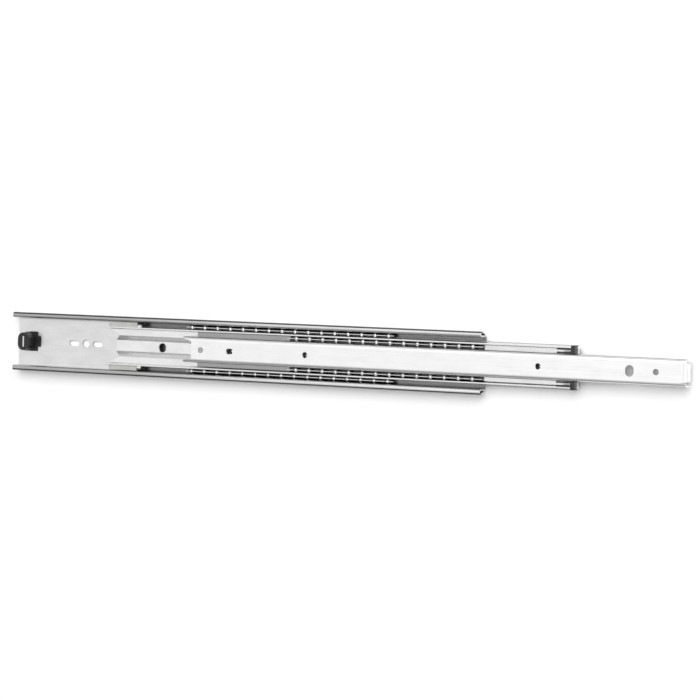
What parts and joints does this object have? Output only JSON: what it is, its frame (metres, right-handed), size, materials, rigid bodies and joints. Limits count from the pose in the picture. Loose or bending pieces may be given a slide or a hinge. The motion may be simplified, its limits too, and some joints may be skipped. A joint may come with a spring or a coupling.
{
  "type": "cabinet drawer slide",
  "caption": "Full-extension side-mount ball-bearing drawer slide with three nested steel channels, ball cages, a rubber rear bumper and screw holes.",
  "frame": {"origin": "centre of the cabinet member's back face, the face that is screwed to the cabinet side", "axes": "+X the way the drawer pulls out, +Y up across the height of the slide as it is mounted, +Z out of the cabinet side towards the drawer"},
  "size_m": [0.5643, 0.0456, 0.0127],
  "materials": {
    "cabinet_steel": "bright zinc plate",
    "intermediate_steel": "bright zinc plate",
    "drawer_steel": "bright zinc plate",
    "cage_steel": "bright zinc plate",
    "ball_steel": "polished",
    "bumper_rubber": "matte",
    "guide_nylon": "satin",
    "stop_plastic": "satin"
  },
  "bodies": {
    "cabinet": {"cabinet_member": "cabinet_steel", "rear_bumper": "bumper_rubber"},
    "outer_retainer": {"outer_cage": "cage_steel", "outer_balls_01": "ball_steel", "outer_balls_02": "ball_steel", "outer_balls_03": "ball_steel", "outer_balls_04": "ball_steel", "outer_balls_05": "ball_steel", "outer_balls_06": "ball_steel", "outer_balls_07": "ball_steel", "outer_balls_08": "ball_steel", "outer_balls_09": "ball_steel", "outer_balls_10": "ball_steel", "outer_balls_11": "ball_steel", "outer_balls_12": "ball_steel", "outer_balls_13": "ball_steel", "outer_balls_14": "ball_steel", "outer_balls_15": "ball_steel", "outer_balls_16": "ball_steel"},
    "intermediate": {"intermediate_member": "intermediate_steel", "rear_guide_upper": "guide_nylon", "rear_guide_lower": "guide_nylon", "front_stop_upper": "stop_plastic", "front_stop_lower": "stop_plastic"},
    "inner_retainer": {"inner_cage": "cage_steel", "inner_balls_01": "ball_steel", "inner_balls_02": "ball_steel", "inner_balls_03": "ball_steel", "inner_balls_04": "ball_steel", "inner_balls_05": "ball_steel", "inner_balls_06": "ball_steel", "inner_balls_07": "ball_steel", "inner_balls_08": "ball_steel", "inner_balls_09": "ball_steel", "inner_balls_10": "ball_steel", "inner_balls_11": "ball_steel", "inner_balls_12": "ball_steel", "inner_balls_13": "ball_steel", "inner_balls_14": "ball_steel"},
    "drawer": {"drawer_member": "drawer_steel"}
  },
  "joints": [
    {"name": "intermediate_slide", "type": "slide", "parent": "cabinet", "child": "intermediate", "axis": [1, 0, 0], "range_m": [-0.0795, 0.112]},
    {"name": "outer_cage_slide", "type": "slide", "parent": "cabinet", "child": "outer_retainer", "axis": [1, 0, 0], "range_m": [-0.03975, 0.056]},
    {"name": "drawer_slide", "type": "slide", "parent": "intermediate", "child": "drawer", "axis": [1, 0, 0], "range_m": [-0.077, 0.138]},
    {"name": "inner_cage_slide", "type": "slide", "parent": "intermediate", "child": "inner_retainer", "axis": [1, 0, 0], "range_m": [-0.0385, 0.069]}
  ],
  "couplings": [
    {"joint": "outer_cage_slide", "follows": "intermediate_slide", "ratio": 0.5},
    {"joint": "inner_cage_slide", "follows": "drawer_slide", "ratio": 0.5}
  ]
}
